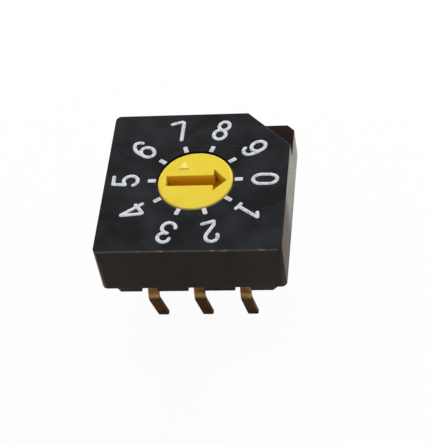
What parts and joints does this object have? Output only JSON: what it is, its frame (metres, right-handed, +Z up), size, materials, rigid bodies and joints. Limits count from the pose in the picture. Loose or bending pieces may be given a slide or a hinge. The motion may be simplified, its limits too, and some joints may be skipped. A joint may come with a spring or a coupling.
{
  "type": "rotary coded switch",
  "caption": "Square through-hole rotary coded switch: black cover with a white numbered dial, a yellow rotor with an arrow-shaped driver slot, and kinked leads.",
  "frame": {"origin": "centre of the base's underside, where the body seats on the circuit board, on the rotor's axis", "axes": "+Z up along the rotor's axis, away from the board; +X towards position 0 on the dial, where the arrow points at rest; -Y towards the front row of leads"},
  "size_m": [0.01, 0.01, 0.0076],
  "materials": {
    "black_moulding": "moulded, slightly satin",
    "yellow_moulding": "satin",
    "white_ink": "printed ink",
    "lead_metal": "plated and slightly tarnished",
    "gold_plate": "gold plated",
    "spring_steel": "rolled strip",
    "silicone": "moulded rubber"
  },
  "bodies": {
    "housing": {"cover": "black_moulding", "dial_marks": "white_ink", "base": "black_moulding", "terminal_1": "lead_metal", "terminal_2": "lead_metal", "terminal_4": "lead_metal", "terminal_8": "lead_metal", "common_front": "lead_metal", "common_back": "lead_metal", "click_spring": "spring_steel"},
    "rotor": {"rotor": "yellow_moulding", "code_disc": "gold_plate", "seal_ring": "silicone"}
  },
  "joints": [
    {"name": "rotor_turn", "type": "hinge", "parent": "housing", "child": "rotor", "pos_m": [0, 0, 0.0015], "axis": [0, 0, 1], "continuous": true, "deforming": ["click_spring"]}
  ]
}
